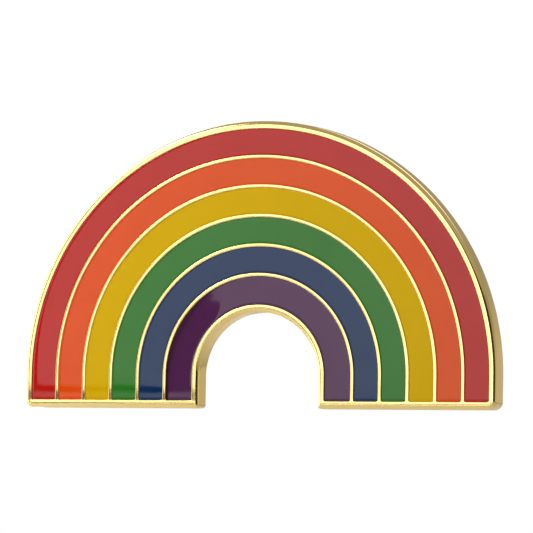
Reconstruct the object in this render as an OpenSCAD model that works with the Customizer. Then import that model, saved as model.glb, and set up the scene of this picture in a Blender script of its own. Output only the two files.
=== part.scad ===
// Rainbow enamel pin: a die-struck, gold-plated arch with six enamel bands.
// Two nail posts on its back each carry a butterfly clutch.
// The pin stands upright: X runs across it, +Z to the top of the arch, and its face looks to -Y.
// The origin is on the plane of the back border, midway between the posts.

/* [Badge] */
// Width of the whole pin, across both feet
pin_w = 30; // [28:0.5:34]
// Thickness of the metal plate, from its back border to its face
plate_t = 1.2; // [1.1:0.05:1.6]
// Radius of the opening under the arch
opening_r = 3.76; // [3.4:0.02:4]
// Straight length of each foot, below the centre of the arch
foot_l = 1.9; // [1.2:0.1:3]
// Radius of the rounded edge round the face
edge_r = 0.25; // [0.15:0.05:0.3]
// Radius of the corners at the outside of the feet
outer_corner_r = 0.5; // [0.3:0.1:0.8]
// Radius of the corners where the feet meet the opening
inner_corner_r = 0.2; // [0.1:0.05:0.3]

/* [Enamel] */
// Width of the metal rim round the face
rim_w = 0.45; // [0.4:0.05:0.6]
// Width of the metal line between two bands
line_w = 0.2; // [0.15:0.05:0.3]
// Depth of the cells that hold the enamel
cell_d = 0.5; // [0.3:0.05:0.6]
// Height of the metal lines above the enamel
enamel_drop = 0.03; // [0.02:0.01:0.08]
// Share of the innermost band's width that each other band has
outer_band_share = 0.922; // [0.85:0.01:1]

/* [Back] */
// Width of the smooth border round the back
border_w = 0.6; // [0.4:0.1:0.6]
// Depth of the pebbled field inside that border
field_d = 0.1; // [0.05:0.01:0.15]
// Angle of each post above the level of the feet, round the centre of the arch
post_angle = 52; // [50:1:54]
// Length of the posts, from the field to the point
post_l = 8.1; // [7.6:0.1:10]
// Diameter of the posts' shank
post_d = 1.1; // [1:0.05:1.15]
// Diameter of the posts' brazed foot
flange_d = 2.5; // [2:0.1:2.8]

/* [Clutches] */
// Diameter of a clutch's disc
disc_d = 10; // [9.4:0.1:10.4]
// Thickness of the sheet that the disc and the spring are made of
sheet_t = 0.3; // [0.25:0.01:0.35]
// Room for cloth between the back border and the disc
cloth_gap = 1.2; // [1.1:0.05:1.5]
// Width of the spring strip
strip_w = 4.2; // [3.8:0.1:4.4]
// Width of a wing's finger tab
tab_w = 5.4; // [5:0.1:5.8]
// Radius of the bends, to the middle of the sheet
bend_r = 0.85; // [0.8:0.01:0.95]
// Slope of the wings where they cross over the post
wing_slope = 12; // [11:0.5:14]

/* [Hidden] */
$fn = 128;
past = 1;                       // how far a cut runs past a face
seam = 0.02;                    // how far one stretch of sheet runs into the next

// Radii, from the centre of the arch
outer_r = pin_w / 2;
cells_out = outer_r - rim_w;
cells_in = opening_r + rim_w;
bands = 6;
lines = bands - 1;
inner_band_w = (cells_out - cells_in - lines * line_w) / (1 + lines * outer_band_share);
outer_band_w = inner_band_w * outer_band_share;
band_pitch = outer_band_w + line_w;
cell_foot = foot_l - rim_w;

// Posts
post_ring_r = (opening_r + outer_r) / 2;
post_x = post_ring_r * cos(post_angle);
post_z = post_ring_r * sin(post_angle);
post_r = post_d / 2;
flange_r = flange_d / 2;
flange_t = 0.25;
tip_l = 0.9;
tip_r = 0.15;
notch_depth = 0.17;
notch_half = 0.25;
tip_notch_back = 1.5;           // from the point to the middle of the notch behind it
fillet_r = 0.45;                // hollow of the solder fillet
fillet_w = 0.25;                // how far the solder spreads and climbs

// Clutch, on its own axis: z = 0 is the cloth side of the disc, +z leads away from the pin
disc_r = disc_d / 2;
roll_r = sheet_t + 0.05;        // outside of the rolled rim
roll_end = 150;                 // where the rolled rim ends, in degrees round the roll
nib_r = 0.45;
nib_height = 0.17;
nib_wall = 0.8 * sheet_t;
nib_ring_r = 0.66 * disc_r;
nibs = 4;
turn_gap = 0.03;                // between the eyelet and what turns on it
eyelet_bore_r = post_r + 0.65;
eyelet_r = eyelet_bore_r + 0.22;
eyelet_hole_r = eyelet_r + turn_gap;
eyelet_flange_r = eyelet_bore_r + 0.85;
eyelet_flange_t = 0.16;
strip_bottom = sheet_t;
strip_top = 2 * sheet_t;

// Bends: they stand as far out as the rolled rim lets their corners go
bend_out_r = bend_r + sheet_t / 2;
bend_z = strip_bottom + bend_out_r;
rim_inside_r = disc_r - 2 * roll_r - 0.05;
corner_x = sqrt(pow(rim_inside_r, 2) - pow(strip_w / 2, 2));
bend_x = corner_x - sqrt(pow(bend_out_r, 2) - pow(bend_z - 2 * roll_r, 2));
arm_from = 90 - wing_slope;     // where a wing leaves its bend, in degrees round it
split_gap = 12;                 // gap between clip and wing, in degrees round the bend

// Wings: past cross_x the two arms are clear of each other, one above the other
cross_z = bend_z + bend_r * sin(arm_from) + (bend_x + bend_r * cos(arm_from)) * tan(wing_slope);
cross_x = (sheet_t / cos(wing_slope) + 0.3) / (2 * tan(wing_slope));
window_front = cross_x;
slot_end = cross_x + 0.15;
window_back = -cross_x - 0.25;
neck_reach = cross_x + 0.3;
arm_reach = cross_x + 0.45;     // how far past the post a wing runs straight
flare_r = 3;
flare_end = 60;
tab_l = 0.6;
tab_corner_r = 2;
grip_gap = 0.05;
slot_half = post_r + 0.07;
tongue_half = slot_half - 0.17;
neck_half = slot_half + 0.38;
window_half = neck_half + 0.25;

// An arch with straight feet, filled below
module arch_fill(r, foot) {
    intersection() {
        circle(r);
        translate([-r, 0]) square([2 * r, r]);
    }
    translate([-r, -foot]) square([2 * r, foot]);
}

// A band of the arch between two radii, on feet of the given length
module arch_band(r_in, r_out, foot) {
    difference() {
        arch_fill(r_out, foot);
        arch_fill(r_in, foot + past);
    }
}

// A square of side r at the origin, less the quarter disc that rounds it
module corner_waste(r) {
    difference() {
        translate([-past, -past]) square([r + past, r + past]);
        translate([r, r]) circle(r);
        translate([r, -2 * past]) square([2 * past, r + 4 * past]);
        translate([-2 * past, r]) square([r + 4 * past, 2 * past]);
    }
}

// Cross-section of the plate: radius along x, height above the back along y, face edges rounded
module plate_section() {
    difference() {
        translate([opening_r, 0]) square([outer_r - opening_r, plate_t]);
        translate([opening_r, plate_t]) mirror([0, 1]) corner_waste(edge_r);
        translate([outer_r, plate_t]) mirror([1, 0]) mirror([0, 1]) corner_waste(edge_r);
    }
}

// Lays a shape drawn face up, with the centre of the arch at its origin, into the upright frame
module upright() {
    translate([0, 0, -post_z]) rotate([90, 0, 0]) children();
}

// The plate before its cells are sunk, face up
module plate_blank() {
    rotate_extrude(angle = 180) plate_section();
    for (side = [0, 1])
        mirror([side, 0, 0]) rotate([90, 0, 0]) linear_extrude(height = foot_l) plate_section();
}

// Where the rounded edge along the bottom of the feet takes metal away
module foot_edge_waste() {
    translate([-outer_r - past, -foot_l, plate_t])
        rotate([90, 0, 90]) linear_extrude(height = pin_w + 2 * past)
            mirror([0, 1]) corner_waste(edge_r);
}

// Where the rounded corners of both feet take metal away
module foot_corner_waste() {
    for (side = [0, 1]) mirror([side, 0, 0]) translate([0, 0, -past]) {
        linear_extrude(height = plate_t + 2 * past)
            translate([outer_r, -foot_l]) mirror([1, 0]) corner_waste(outer_corner_r);
        linear_extrude(height = plate_t + 2 * past)
            translate([opening_r, -foot_l]) corner_waste(inner_corner_r);
    }
}

// Outline of one enamel cell; band 0 is the outermost
module cell_outline(band) {
    r_out = cells_out - band * band_pitch;
    r_in = band == bands - 1 ? cells_in : r_out - outer_band_w;
    arch_band(r_in, r_out, cell_foot);
}

module base_plate() {
    color("gold") upright() difference() {
        plate_blank();
        foot_edge_waste();
        foot_corner_waste();
        for (band = [0:bands - 1])
            translate([0, 0, plate_t - cell_d]) linear_extrude(height = cell_d + past) cell_outline(band);
        translate([0, 0, -past]) linear_extrude(height = field_d + past)
            arch_band(opening_r + border_w, outer_r - border_w, foot_l - border_w);
    }
}

// The enamel that fills one cell
module enamel(band, tint) {
    color(tint) upright() translate([0, 0, plate_t - cell_d])
        linear_extrude(height = cell_d - enamel_drop) cell_outline(band);
}

// Puts a shape drawn on a post's own axis, +z away from the pin, onto the post; side is -1 or 1
module on_post(side) {
    translate([side * post_x, 0, 0]) rotate([0, side * (90 - post_angle), 0]) rotate([-90, 0, 0])
        children();
}

// Half outline of a notch round the shank, centred at the given height
module notch_section(z) {
    polygon([[post_r + past, z - notch_half - notch_depth - past], [post_r, z - notch_half - notch_depth],
             [post_r - notch_depth, z - notch_half], [post_r - notch_depth, z + notch_half],
             [post_r, z + notch_half + notch_depth], [post_r + past, z + notch_half + notch_depth + past]]);
}

// A nail post with a flat foot, a notch where the clutch grips and another behind the point
module post(side) {
    top = post_l - field_d;
    color("goldenrod") on_post(side) rotate_extrude() difference() {
        union() {
            translate([0, -field_d]) square([flange_r, flange_t]);
            translate([0, -field_d]) square([post_r, post_l - tip_l]);
            polygon([[0, top - tip_l], [post_r, top - tip_l], [tip_r, top], [0, top]]);
        }
        notch_section(cloth_gap + cross_z);
        notch_section(top - tip_notch_back);
    }
}

// The ring of silver solder that holds a post's foot
module solder(side) {
    color("silver") on_post(side) rotate_extrude() translate([flange_r, -field_d]) difference() {
        square(fillet_w);
        translate([fillet_r, fillet_r]) circle(fillet_r);
    }
}

// Puts a shape drawn on a clutch's own axis onto its post
module on_clutch(side) {
    on_post(side) translate([0, 0, cloth_gap]) children();
}

// The hollow eyelet that holds disc and spring together and slides on the post
module eyelet(side) {
    stack = strip_top + 2 * turn_gap;
    color("khaki") on_clutch(side) rotate_extrude() translate([0, -turn_gap]) {
        translate([eyelet_bore_r, -eyelet_flange_t])
            square([eyelet_r - eyelet_bore_r, stack + 2 * eyelet_flange_t]);
        translate([eyelet_bore_r, -eyelet_flange_t])
            square([eyelet_flange_r - eyelet_bore_r, eyelet_flange_t]);
        translate([eyelet_bore_r, stack])
            square([eyelet_flange_r - eyelet_bore_r, eyelet_flange_t]);
    }
}

// Section of the disc: a flat sheet whose rim is rolled over
module disc_section() {
    roll_x = disc_r - roll_r;
    translate([eyelet_hole_r, 0]) square([roll_x - eyelet_hole_r + seam, sheet_t]);
    translate([roll_x, roll_r]) strip_arc(roll_r - sheet_t / 2, -90, roll_end);
}

module disc(side) {
    color("gold") on_clutch(side) difference() {
        union() {
            rotate_extrude() disc_section();
            nib_places() intersection() {
                sphere(nib_r);
                translate([0, 0, -nib_r]) cube([2 * nib_r, 2 * nib_r, 2 * nib_r], center = true);
            }
        }
        nib_places() sphere(nib_r - nib_wall);
    }
}

// Puts a nib's centre at each place round the disc
module nib_places() {
    for (i = [0:nibs - 1])
        rotate([0, 0, (i + 0.5) * 360 / nibs])
            translate([nib_ring_r, 0, nib_r - nib_height]) children();
}

// A curved piece of sheet seen from its edge, round the origin, between two angles
module strip_arc(r, from, to) {
    wide = 2 * (r + sheet_t);
    difference() {
        circle(r + sheet_t / 2);
        circle(r - sheet_t / 2);
        waste = 360 - (to - from);
        for (part = [0:2])
            polygon([[0, 0], wide * [cos(to + part * waste / 3), sin(to + part * waste / 3)],
                     wide * [cos(to + (part + 1) * waste / 3), sin(to + (part + 1) * waste / 3)]]);
    }
}

// Edge view of the clip: the strip under the eyelet and its two bends
module clip_side_view() {
    translate([-bend_x - seam, strip_bottom]) square([2 * (bend_x + seam), sheet_t]);
    for (side = [0, 1]) mirror([side, 0])
        translate([bend_x, bend_z]) strip_arc(bend_r, -90, arm_from - split_gap);
}

// Carries an edge view, x across and y up, to the full width given
module across_strip(width) {
    rotate([90, 0, 0]) translate([0, 0, -width / 2]) linear_extrude(height = width) children();
}

module clip(side) {
    color("gold") on_clutch(side) difference() {
        across_strip(strip_w) clip_side_view();
        cylinder(r = eyelet_hole_r, h = strip_top + past);
    }
}

// Edge view of one wing, rooted in the bend at +x and rising over the post to -x
module wing_side_view() {
    translate([bend_x, bend_z]) {
        rotate(arm_from) translate([bend_r, 0]) {
            reach = (bend_x + bend_r * cos(arm_from) + arm_reach) / cos(wing_slope);
            translate([-sheet_t / 2, -seam]) square([sheet_t, reach + seam]);
            translate([flare_r, reach]) strip_flare();
        }
    }
}

// Edge view of the upturned tab, from the end of the straight arm
module strip_flare() {
    turn = flare_end - wing_slope;
    rotate(180 - turn) strip_arc(flare_r, 0, turn + seam);
    rotate(180 - turn) translate([flare_r - sheet_t / 2, -tab_l]) square([sheet_t, tab_l + seam]);
}

// Plan of a wing: strip width at the bend, wider at the tab, with round ends
module wing_plan(tip_x) {
    translate([-arm_reach, -strip_w / 2]) square([arm_reach + bend_x + 2 * bend_r, strip_w]);
    difference() {
        translate([tip_x, -tab_w / 2]) square([-arm_reach - tip_x + seam, tab_w]);
        for (edge = [0, 1])
            mirror([0, edge]) translate([tip_x, -tab_w / 2]) corner_waste(tab_corner_r);
    }
}

// The whole wing before its openings are cut
module wing_blank() {
    flare_x = flare_r * (sin(flare_end) - sin(wing_slope));
    tip_x = -arm_reach - flare_x - tab_l * cos(flare_end) - sheet_t / 2;
    intersection() {
        across_strip(tab_w) wing_side_view();
        linear_extrude(height = cross_z + 3 * flare_r) wing_plan(tip_x);
    }
}

// A box cut through the sheet, between two places along the strip
module through_cut(from, to, half) {
    translate([from, -half, 0]) cube([to - from, 2 * half, 2 * cross_z]);
}

// The outer wing: the other wing's neck passes its window, and its tongue bears on the post
module wing_a(side) {
    color("gold") on_clutch(side) difference() {
        wing_blank();
        difference() {
            through_cut(window_back, window_front, window_half);
            through_cut(post_r + grip_gap, window_front + past, tongue_half);
        }
    }
}

// The inner wing, turned round: a narrow neck with a slot for the post and the tongue
module wing_b(side) {
    color("gold") on_clutch(side) mirror([1, 0, 0]) difference() {
        wing_blank();
        through_cut(-slot_end, post_r + grip_gap, slot_half);
        for (edge = [0, 1])
            mirror([0, edge, 0]) translate([-neck_reach, neck_half, 0])
                cube([2 * neck_reach, tab_w, 2 * cross_z]);
    }
}

base_plate();
enamel(0, "firebrick");  // enamel_red
enamel(1, "orangered");  // enamel_orange
enamel(2, "goldenrod");  // enamel_yellow
enamel(3, "forestgreen");  // enamel_green
enamel(4, "navy");  // enamel_blue
enamel(5, "indigo");  // enamel_purple
post(-1);  // post_left
post(1);  // post_right
solder(-1);  // solder_left
solder(1);  // solder_right
eyelet(-1);  // eyelet_left
disc(-1);  // disc_left
clip(-1);  // clip_left
wing_a(-1);  // wing_left_a
wing_b(-1);  // wing_left_b
eyelet(1);  // eyelet_right
disc(1);  // disc_right
clip(1);  // clip_right
wing_a(1);  // wing_right_a
wing_b(1);  // wing_right_b
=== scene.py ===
"""Looks of the struck enamel pin: a gold-plated rainbow plate, six enamels and two butterfly clutches.

Everything is in metres, in the part's own frame: X across the pin, +Z to the top of the arch, the face
looking to -Y. Sizes below are written in millimetres and turned into metres where a mesh is made.
"""

from __future__ import annotations

import logging
import math
from dataclasses import dataclass
from enum import Enum

import bmesh
import bpy
import numpy as np
from mathutils import Matrix, Vector


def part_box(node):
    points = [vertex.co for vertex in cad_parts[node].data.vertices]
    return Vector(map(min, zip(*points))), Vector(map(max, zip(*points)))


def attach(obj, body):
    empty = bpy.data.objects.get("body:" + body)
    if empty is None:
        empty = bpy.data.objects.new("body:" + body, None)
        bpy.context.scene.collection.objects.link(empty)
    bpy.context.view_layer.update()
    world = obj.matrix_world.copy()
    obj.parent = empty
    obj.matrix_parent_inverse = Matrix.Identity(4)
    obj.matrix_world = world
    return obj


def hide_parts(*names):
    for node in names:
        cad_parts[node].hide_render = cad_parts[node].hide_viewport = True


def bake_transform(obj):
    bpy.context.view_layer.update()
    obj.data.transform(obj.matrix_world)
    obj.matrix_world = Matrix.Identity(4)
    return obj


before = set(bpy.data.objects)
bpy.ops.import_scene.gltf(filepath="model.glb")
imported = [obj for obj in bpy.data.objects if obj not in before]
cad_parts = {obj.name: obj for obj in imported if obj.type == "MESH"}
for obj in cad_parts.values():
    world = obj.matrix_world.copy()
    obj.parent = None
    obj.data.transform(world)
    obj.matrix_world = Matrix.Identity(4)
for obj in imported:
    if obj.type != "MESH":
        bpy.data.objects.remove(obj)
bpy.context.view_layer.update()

LOG = logging.getLogger("pin")
MM = 0.001
TINY = 1e-9
SHEET_CREASE = math.radians(60)
Array = np.ndarray


class Side(Enum):
    """The two posts, by the sign of their X."""

    LEFT = -1
    RIGHT = 1

    @property
    def tag(self) -> str:
        """The side's word in node and body names.

        Returns:
            left or right.
        """
        return self.name.lower()


class Wing(Enum):
    """The two wings of a clutch, by the last letter of their node names."""

    OUTER = "a"
    INNER = "b"


class Slot(Enum):
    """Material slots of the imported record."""

    GOLD = "gold_plate"
    POST = "post_metal"
    SOLDER = "solder"
    CLUTCH = "clutch_metal"


# ---------------------------------------------------------------- colours and nodes


def linear(hex_code: str) -> tuple[float, float, float, float]:
    """Turns an sRGB hex colour into the linear colour that shaders take.

    Args:
        hex_code: Six hex digits, with or without the leading mark.

    Returns:
        Linear red, green and blue with full alpha.
    """
    digits = hex_code.lstrip("#")
    parts = [int(digits[i : i + 2], 16) / 255 for i in (0, 2, 4)]
    rgb = [c / 12.92 if c <= 0.04045 else ((c + 0.055) / 1.055) ** 2.4 for c in parts]
    return rgb[0], rgb[1], rgb[2], 1.0


def add_node(tree: bpy.types.NodeTree, kind: str, settings: dict | None = None,
             links: dict | None = None) -> bpy.types.Node:
    """Adds one shader node.

    Args:
        tree: The node tree that gets the node.
        kind: Blender's type name of the node, without the word ShaderNode that it starts with.
        settings: Values by input name or number, or by property name of the node.
        links: Output sockets by the input name or number that they feed.

    Returns:
        The new node.
    """
    node = tree.nodes.new("ShaderNode" + kind)
    for key, value in (settings or {}).items():
        if isinstance(key, int) or key in node.inputs:
            node.inputs[key].default_value = value
        else:
            setattr(node, key, value)
    for key, socket in (links or {}).items():
        tree.links.new(socket, node.inputs[key])
    return node


def blank_material(name: str) -> tuple[bpy.types.Material, bpy.types.NodeTree]:
    """Makes a material with no nodes.

    Args:
        name: The material's name.

    Returns:
        The material and its empty tree.
    """
    material = bpy.data.materials.new(name)
    material.use_nodes = True
    material.node_tree.nodes.clear()
    return material, material.node_tree


def remap(tree: bpy.types.NodeTree, value: bpy.types.NodeSocket, start: tuple[float, float],
          end: tuple[float, float]) -> bpy.types.NodeSocket:
    """Carries one range of a value to another.

    Args:
        tree: The node tree that gets the node.
        value: The socket that is carried over; it is held inside the range.
        start: The range that it is read in.
        end: The range that comes out.

    Returns:
        The new value's socket.
    """
    settings = {"From Min": start[0], "From Max": start[1], "To Min": end[0], "To Max": end[1]}
    return add_node(tree, "MapRange", settings, {"Value": value}).outputs["Result"]


def noise(tree: bpy.types.NodeTree, place: bpy.types.NodeSocket, size_mm: float, detail: float,
          roughness: float = 0.5) -> bpy.types.NodeSocket:
    """Adds cloudy noise of a real size.

    Args:
        tree: The node tree that gets the node.
        place: Coordinates in metres.
        size_mm: Size of the largest clouds, in millimetres.
        detail: How many finer layers lie over them.
        roughness: How strong the finer layers are.

    Returns:
        The noise's socket.
    """
    settings = {"Scale": 1 / (size_mm * MM), "Detail": detail, "Roughness": roughness}
    return add_node(tree, "TexNoise", settings, {"Vector": place}).outputs["Fac"]


# ---------------------------------------------------------------- finishes


@dataclass(frozen=True)
class MetalFinish:
    """A plated or bare metal surface with fine polishing marks and uneven gloss; sizes in millimetres."""

    name: str
    colour: str
    stain: str
    gloss: float
    dull: float
    mark_mm: float = 0.05
    mark_height: float = 0.0006
    mark_stretch: tuple[float, float, float] = (1.0, 1.0, 1.0)
    pebble_mm: float = 0.0
    pebble_height: float = 0.0
    cloud_mm: float = 2.4
    stain_share: float = 0.45
    ground_dull: float = 0.16

    def build(self) -> bpy.types.Material:
        """Makes the material.

        Returns:
            A procedural metal: base colour from slow stains, roughness from cloudy polish, bump from fine
            marks and, where the mesh says so, from the struck pebble ground.
        """
        material, tree = blank_material(self.name)
        place = add_node(tree, "TexCoord").outputs["Object"]
        cloud = noise(tree, place, self.cloud_mm, 3.0, 0.6)
        colour = add_node(tree, "Mix", {"data_type": "RGBA", 6: linear(self.colour),
                                                  7: linear(self.stain)},
                          {0: remap(tree, cloud, (0.35, 0.8), (0.0, self.stain_share))})
        rough = remap(tree, cloud, (0.3, 0.7), (self.gloss, self.dull))
        along = add_node(tree, "Mapping", {"Scale": self.mark_stretch}, {"Vector": place})
        marks = noise(tree, along.outputs["Vector"], self.mark_mm, 2.0)
        bump = add_node(tree, "Bump", {"Strength": 1.0, "Distance": self.mark_height * MM},
                        {"Height": marks})
        if self.pebble_mm > 0:
            ground = add_node(tree, "Attribute", {"attribute_name": "ground"}).outputs["Fac"]
            cells = add_node(tree, "TexVoronoi",
                             {"Scale": 1 / (self.pebble_mm * MM), "Randomness": 0.85,
                              "feature": "SMOOTH_F1", "Smoothness": 0.35}, {"Vector": place})
            level = add_node(tree, "Math", {"operation": "MULTIPLY"},
                             {0: cells.outputs["Distance"], 1: ground})
            bump = add_node(tree, "Bump", {"Strength": 1.0, "Distance": self.pebble_height * MM,
                                                     "invert": True},
                            {"Height": level.outputs["Value"], "Normal": bump.outputs["Normal"]})
            rough = add_node(tree, "Math", {"operation": "MULTIPLY_ADD", 1: self.ground_dull},
                             {0: ground, 2: rough}).outputs["Value"]
        shader = add_node(tree, "BsdfPrincipled", {"Metallic": 1.0},
                          {"Base Color": colour.outputs[2], "Roughness": rough,
                           "Normal": bump.outputs["Normal"]})
        add_node(tree, "OutputMaterial", {}, {"Surface": shader.outputs["BSDF"]})
        return material


@dataclass(frozen=True)
class EnamelFinish:
    """Fired and ground enamel: an opaque colour with a clear gloss and a slightly uneven polish.

    Sizes are in millimetres.
    """

    name: str
    colour: str
    deep: str
    sheen: str
    gloss: float = 0.05
    haze: float = 0.05
    mirror: float = 0.39
    glass_ior: float = 1.52
    drift_mm: float = 3.0
    drift_share: float = 0.35
    grain_mm: float = 0.09
    grain_share: float = 0.12
    peel_mm: float = 0.7
    peel_height: float = 0.0016

    def build(self) -> bpy.types.Material:
        """Makes the material.

        Returns:
            A procedural glossy dielectric: slow colour drift, pigment specks, orange-peel bump, faint haze.
        """
        material, tree = blank_material(self.name)
        place = add_node(tree, "TexCoord").outputs["Object"]
        drift = noise(tree, place, self.drift_mm, 2.0)
        base = add_node(tree, "Mix", {"data_type": "RGBA", 6: linear(self.colour),
                                                7: linear(self.deep)},
                        {0: remap(tree, drift, (0.3, 0.75), (0.0, self.drift_share))})
        grains = remap(tree, noise(tree, place, self.grain_mm, 1.0), (0.72, 0.8), (0.0, self.grain_share))
        colour = add_node(tree, "Mix", {"data_type": "RGBA", 7: linear(self.deep)},
                          {0: grains, 6: base.outputs[2]})
        rough = remap(tree, drift, (0.3, 0.7), (self.gloss, self.gloss + self.haze))
        bump = add_node(tree, "Bump", {"Strength": 1.0, "Distance": self.peel_height * MM},
                        {"Height": noise(tree, place, self.peel_mm, 1.5)})
        shader = add_node(tree, "BsdfPrincipled",
                          {"Metallic": 0.0, "IOR": self.glass_ior, "Specular IOR Level": self.mirror,
                           "Specular Tint": linear(self.sheen)},
                          {"Base Color": colour.outputs[2], "Roughness": rough,
                           "Normal": bump.outputs["Normal"]})
        add_node(tree, "OutputMaterial", {}, {"Surface": shader.outputs["BSDF"]})
        return material


# Polished gold plating over struck brass: pale warm mirror, cloudy polish; pebbled ground on the back
PLATING = MetalFinish("polished_gold_plating", "F4DB94", "E8C870", 0.05, 0.12, 0.06, 0.0004,
                      pebble_mm=0.34, pebble_height=0.10)
# Drawn brass wire, gold plated: fine marks along the shank
SHANK = MetalFinish("drawn_brass_gold_plated", "EBC987", "D9B067", 0.14, 0.27, 0.05, 0.0012,
                    mark_stretch=(1.0, 0.12, 1.0))
# Stamped and barrel-polished sheet brass, gold plated: a little duller, with tumbling marks
SHEET = MetalFinish("stamped_brass_gold_plated", "F0D08C", "DDB56C", 0.16, 0.30, 0.12, 0.0018)
# Silver solder that has run round the post's foot: grey-white, soft gloss
SOLDER = MetalFinish("silver_solder", "CFC9BC", "A79C86", 0.24, 0.42, 0.16, 0.006)

# Hard enamels, ground flush and polished: each a flat opaque pigment under a gloss
ENAMELS = {
    "enamel_red": EnamelFinish("hard_enamel_red", "AF140A", "A20D06", "FFF4F0"),
    "enamel_orange": EnamelFinish("hard_enamel_orange", "D34603", "CA3C01", "FFEBD2"),
    "enamel_yellow": EnamelFinish("hard_enamel_yellow", "C89F03", "C09800", "FFF46A"),
    "enamel_green": EnamelFinish("hard_enamel_green", "187112", "12660E", "FFE6F0"),
    "enamel_blue": EnamelFinish("hard_enamel_blue", "072851", "05234A", "F4F8FF"),
    "enamel_purple": EnamelFinish("hard_enamel_purple", "492148", "431D42", "FFF8FF"),
}


# ---------------------------------------------------------------- mesh helpers


def cos_steps(length: float, count: int) -> Array:
    """Steps from 0 to length, close together at 0, as a quarter circle seen from its end.

    Args:
        length: The last value.
        count: How many steps.

    Returns:
        count + 1 rising values.
    """
    return length * (1 - np.cos(np.linspace(0, math.pi / 2, count + 1)))


def smooth(t: Array) -> Array:
    """Smoothstep of t held between 0 and 1.

    Args:
        t: Values of any size.

    Returns:
        3t squared less 2t cubed, of the held values.
    """
    t = np.clip(t, 0, 1)
    return t * t * (3 - 2 * t)


def grid_faces(rows: int, columns: int, first: int = 0, wrap_rows: bool = False,
               wrap_columns: bool = False) -> Array:
    """Quads of a grid of vertices numbered row by row.

    Args:
        rows: Rows of vertices.
        columns: Vertices in a row.
        first: Number of the first vertex.
        wrap_rows: Whether the last row joins the first.
        wrap_columns: Whether each row's last vertex joins its first.

    Returns:
        Corner numbers, four to a quad.
    """
    i = np.arange(rows if wrap_rows else rows - 1)[:, None]
    j = np.arange(columns if wrap_columns else columns - 1)[None, :]
    i2, j2 = (i + 1) % rows, (j + 1) % columns
    quads = np.stack([i * columns + j, i2 * columns + j, i2 * columns + j2, i * columns + j2], -1)
    return quads.reshape(-1, 4) + first


def make_piece(name: str, points: Array, faces: Array, material: bpy.types.Material,
               weld_mm: float = 0.0, attributes: dict[str, Array] | None = None) -> bpy.types.Object:
    """Makes a mesh object at the origin from points in millimetres.

    Args:
        name: Name of the piece.
        points: Points, one row each, in millimetres of the part's frame.
        faces: Corner numbers of each face.
        material: The piece's finish.
        weld_mm: Distance under which points are merged.
        attributes: Values to store on the points, by name.

    Returns:
        The new object, with faces outward and smooth.
    """
    mesh = bpy.data.meshes.new(name)
    mesh.from_pydata((points * MM).tolist(), [], faces.tolist())
    for key, values in (attributes or {}).items():
        layer = mesh.attributes.new(key, "FLOAT", "POINT")
        layer.data.foreach_set("value", values.astype(np.float32).ravel())
    work = bmesh.new()
    work.from_mesh(mesh)
    if weld_mm > 0:
        bmesh.ops.remove_doubles(work, verts=work.verts, dist=weld_mm * MM)
    bmesh.ops.recalc_face_normals(work, faces=work.faces)
    work.to_mesh(mesh)
    work.free()
    mesh.shade_smooth()
    mesh.materials.append(material)
    piece = bpy.data.objects.new(name, mesh)
    bpy.context.scene.collection.objects.link(piece)
    return piece


def seat(piece: bpy.types.Object, body: str, node: str) -> bpy.types.Object:
    """Puts a piece on its body in place of its CAD node.

    Args:
        piece: The finished object.
        body: Name of the CAD body that it rides.
        node: The CAD node that it stands for.

    Returns:
        The same object.
    """
    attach(piece, body)
    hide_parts(node)
    LOG.info("%s rides %s for %s", piece.name, body, node)
    return piece


# ---------------------------------------------------------------- the arch and its plan


@dataclass(frozen=True)
class ArchPlan:
    """Plan of an arch with straight feet: radii, foot length and rounded foot corners, in millimetres."""

    centre_z: float
    inner: float
    outer: float
    foot: float
    inner_corner: float
    outer_corner: float

    def edge_distance(self, s: Array, end: Array) -> Array:
        """Distance from the plan's outline, positive inside, rounded at the foot corners.

        Args:
            s: Distance from the arch's centre, or from its middle line on the feet.
            end: Height above the end of the feet.

        Returns:
            The nearest of the distances to the two curved sides and the foot's end; within a corner's
            radius of both, the radius less the distance to the corner's centre.
        """
        near = np.minimum(np.minimum(s - self.inner, self.outer - s), end)
        for gap, radius in ((self.outer - s, self.outer_corner), (s - self.inner, self.inner_corner)):
            inside = (gap < radius) & (end < radius)
            round_gap = radius - np.hypot(radius - gap, radius - end)
            near = np.where(inside, round_gap, near)
        return near

    def grid(self, radii: Array, ends: Array, turns: int) -> tuple[Array, Array, Array, Array]:
        """Lays a grid over the plan, from the left foot over the arch to the right foot.

        The feet's rows start on the rounded outline: a foot is shorter near a corner by the corner's radius
        less the root of that radius squared less the squared distance to where the corner begins.

        Args:
            radii: Radii of the columns, rising from the inner to the outer side.
            ends: Heights of the foot rows above the foot's end, rising from 0 to the foot's length.
            turns: Rows round the half circle.

        Returns:
            X, Z, radius and height above the foot's end of each grid point.
        """
        drop = np.zeros_like(radii)
        for gap, radius in ((self.outer - radii, self.outer_corner),
                            (radii - self.inner, self.inner_corner)):
            into = np.clip(radius - gap, 0, radius)
            drop = np.maximum(drop, radius - np.sqrt(np.maximum(radius**2 - into**2, 0)))
        share = (ends / ends[-1])[:, None]
        height = drop + share * (self.foot - drop)
        foot_x = np.broadcast_to(radii, height.shape)
        angle = np.linspace(math.pi, 0, turns + 1)[1:-1, None]
        x = np.vstack([-foot_x, np.cos(angle) * radii, foot_x[::-1]])
        z = np.vstack([height - self.foot, np.sin(angle) * radii, height[::-1] - self.foot]) + self.centre_z
        s = np.broadcast_to(radii, x.shape)
        return x, z, s, z - self.centre_z + self.foot


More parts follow.
